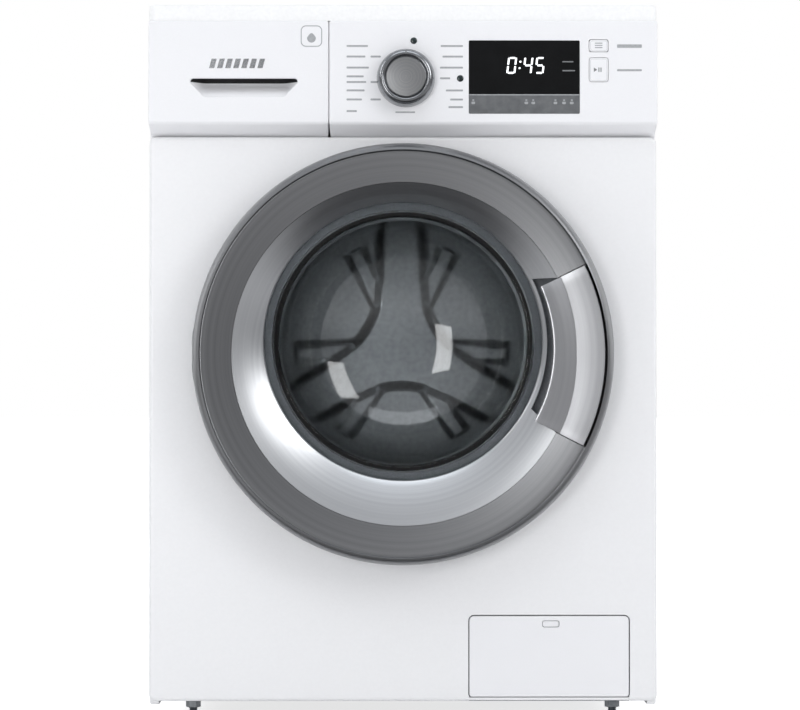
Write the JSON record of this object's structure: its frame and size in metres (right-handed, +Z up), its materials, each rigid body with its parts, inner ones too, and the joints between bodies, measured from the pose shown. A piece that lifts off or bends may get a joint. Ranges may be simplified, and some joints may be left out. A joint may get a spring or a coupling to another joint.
{
  "type": "front load washing machine",
  "caption": "Free-standing front load washing machine with a round glass door, a detergent drawer, a programme knob and a display.",
  "frame": {"origin": "on the floor under the centre of the overall box", "axes": "+Z up, -Y out of the front, +X to the right seen from the front"},
  "size_m": [0.595, 0.6, 0.85],
  "materials": {
    "white_enamel": "smooth white stoved enamel on sheet steel",
    "white_plastic": "white moulded ABS, fine satin texture",
    "zinc_steel": "zinc coated sheet steel with a faint spangle",
    "white_laminate": "chipboard faced with white melamine, rounded plastic edge",
    "black_rubber": "matt black rubber",
    "grey_rubber": "soft grey EPDM door seal",
    "black_window": "gloss black display window",
    "spun_metal": "spun metal look with fine circular lines",
    "grey_plastic": "mid grey moulded plastic",
    "black_plastic": "black glass-filled plastic",
    "gunmetal": "gunmetal metallised plastic ring",
    "silver_plating": "bright satin plated plastic",
    "handle_grey": "satin grey metallised plastic",
    "clear_glass": "clear moulded glass bowl",
    "stainless": "bright stainless steel",
    "spring_steel": "oiled spring steel",
    "cast_aluminium": "as-cast aluminium alloy",
    "tub_polymer": "filled polypropylene",
    "concrete": "cast concrete"
  },
  "bodies": {
    "root": {"side_panel_left": "white_enamel", "side_panel_right": "white_enamel", "front_panel": "white_enamel", "rear_panel": "zinc_steel", "rear_service_cover": "zinc_steel", "base_frame": "zinc_steel", "worktop": "white_laminate", "foot_rear_left": "black_rubber", "foot_rear_right": "black_rubber", "control_fascia": "white_plastic", "display_window": "black_window", "control_board_case": "grey_plastic", "dispenser_housing": "grey_plastic", "door_hinge_bracket": "cast_aluminium", "door_lock": "black_plastic", "door_gasket": "grey_rubber", "suspension_spring_left": "spring_steel", "suspension_spring_right": "spring_steel", "damper_cylinder_left": "black_plastic", "damper_cylinder_right": "black_plastic", "drain_pump": "grey_plastic", "sump_hose": "black_rubber", "drain_hose": "grey_plastic", "inlet_valve": "white_plastic", "cord_gland": "black_plastic"},
    "tub": {"tub_front": "tub_polymer", "tub_rear": "tub_polymer", "counterweight_top": "concrete", "counterweight_front": "concrete", "motor_body": "zinc_steel", "heater": "stainless", "damper_rod_left": "zinc_steel", "damper_rod_right": "zinc_steel", "drum_bearing_front": "stainless", "drum_bearing_rear": "stainless", "drive_belt": "black_rubber"},
    "drum": {"drum_shell": "stainless", "drum_back": "stainless", "drum_spider": "cast_aluminium", "drum_pulley": "cast_aluminium", "drum_lifter_1": "grey_plastic", "drum_lifter_2": "grey_plastic", "drum_lifter_3": "grey_plastic"},
    "motor": {"motor_pulley": "zinc_steel"},
    "door": {"door_outer_ring": "gunmetal", "door_inner_ring": "silver_plating", "door_glass": "clear_glass", "door_back_frame": "grey_plastic", "door_hinge_pin": "stainless"},
    "handle": {"door_handle": "handle_grey"},
    "latch": {"latch_hook": "zinc_steel"},
    "drawer": {"drawer_front": "white_plastic", "drawer_tray": "white_plastic"},
    "knob": {"programme_knob": "spun_metal"},
    "start_key": {"start_button": "white_plastic"},
    "options_key": {"options_button": "white_plastic"},
    "flap": {"filter_flap": "white_plastic"},
    "filter": {"filter_cap": "grey_plastic"},
    "front_foot_left": {"foot_front_left": "black_rubber"},
    "front_foot_right": {"foot_front_right": "black_rubber"}
  },
  "joints": [
    {"name": "tub_float", "type": "slide", "parent": "root", "child": "tub", "axis": [0, 0, 1], "range_m": [-0.012, 0.008], "stiffness_N_per_m": 24000, "springref_m": 0.01459, "deforming": ["suspension_spring_left", "suspension_spring_right", "door_gasket", "sump_hose"]},
    {"name": "drum_spin", "type": "hinge", "parent": "tub", "child": "drum", "pos_m": [0, 0, 0.456], "axis": [0, 1, 0], "continuous": true},
    {"name": "motor_spin", "type": "hinge", "parent": "tub", "child": "motor", "pos_m": [0, 0, 0.141], "axis": [0, 1, 0], "continuous": true},
    {"name": "door_swing", "type": "hinge", "parent": "root", "child": "door", "pos_m": [-0.234, -0.277, 0.441], "axis": [0, 0, -1], "range_deg": [0, 130]},
    {"name": "handle_pull", "type": "hinge", "parent": "door", "child": "handle", "pos_m": [0.204, -0.2895, 0.441], "axis": [0, 0, 1], "range_deg": [0, 12], "stiffness_Nm_per_rad": 1.2},
    {"name": "latch_pull", "type": "hinge", "parent": "door", "child": "latch", "pos_m": [0.197, -0.268, 0.441], "axis": [0, 0, 1], "range_deg": [0, 13.2]},
    {"name": "drawer_slide", "type": "slide", "parent": "root", "child": "drawer", "axis": [0, -1, 0], "range_m": [0, 0.24]},
    {"name": "knob_turn", "type": "hinge", "parent": "root", "child": "knob", "pos_m": [0.0032, -0.269, 0.7632], "axis": [0, 1, 0], "continuous": true},
    {"name": "start_press", "type": "slide", "parent": "root", "child": "start_key", "axis": [0, 1, 0], "range_m": [0, 0.0012], "stiffness_N_per_m": 1500},
    {"name": "options_press", "type": "slide", "parent": "root", "child": "options_key", "axis": [0, 1, 0], "range_m": [0, 0.0012], "stiffness_N_per_m": 1500},
    {"name": "flap_open", "type": "hinge", "parent": "root", "child": "flap", "pos_m": [0.17095, -0.2516, 0.0444], "axis": [1, 0, 0], "range_deg": [0, 90]},
    {"name": "filter_turn", "type": "hinge", "parent": "root", "child": "filter", "pos_m": [0.17095, -0.222, 0.08685], "axis": [0, 1, 0], "range_deg": [0, 180]},
    {"name": "foot_turn_left", "type": "hinge", "parent": "root", "child": "front_foot_left", "pos_m": [-0.25, -0.195, 0], "axis": [0, 0, 1], "continuous": true},
    {"name": "foot_turn_right", "type": "hinge", "parent": "root", "child": "front_foot_right", "pos_m": [0.25, -0.195, 0], "axis": [0, 0, 1], "continuous": true}
  ],
  "couplings": [
    {"joint": "motor_spin", "follows": "drum_spin", "ratio": 7},
    {"joint": "latch_pull", "follows": "handle_pull", "ratio": 1.1}
  ]
}
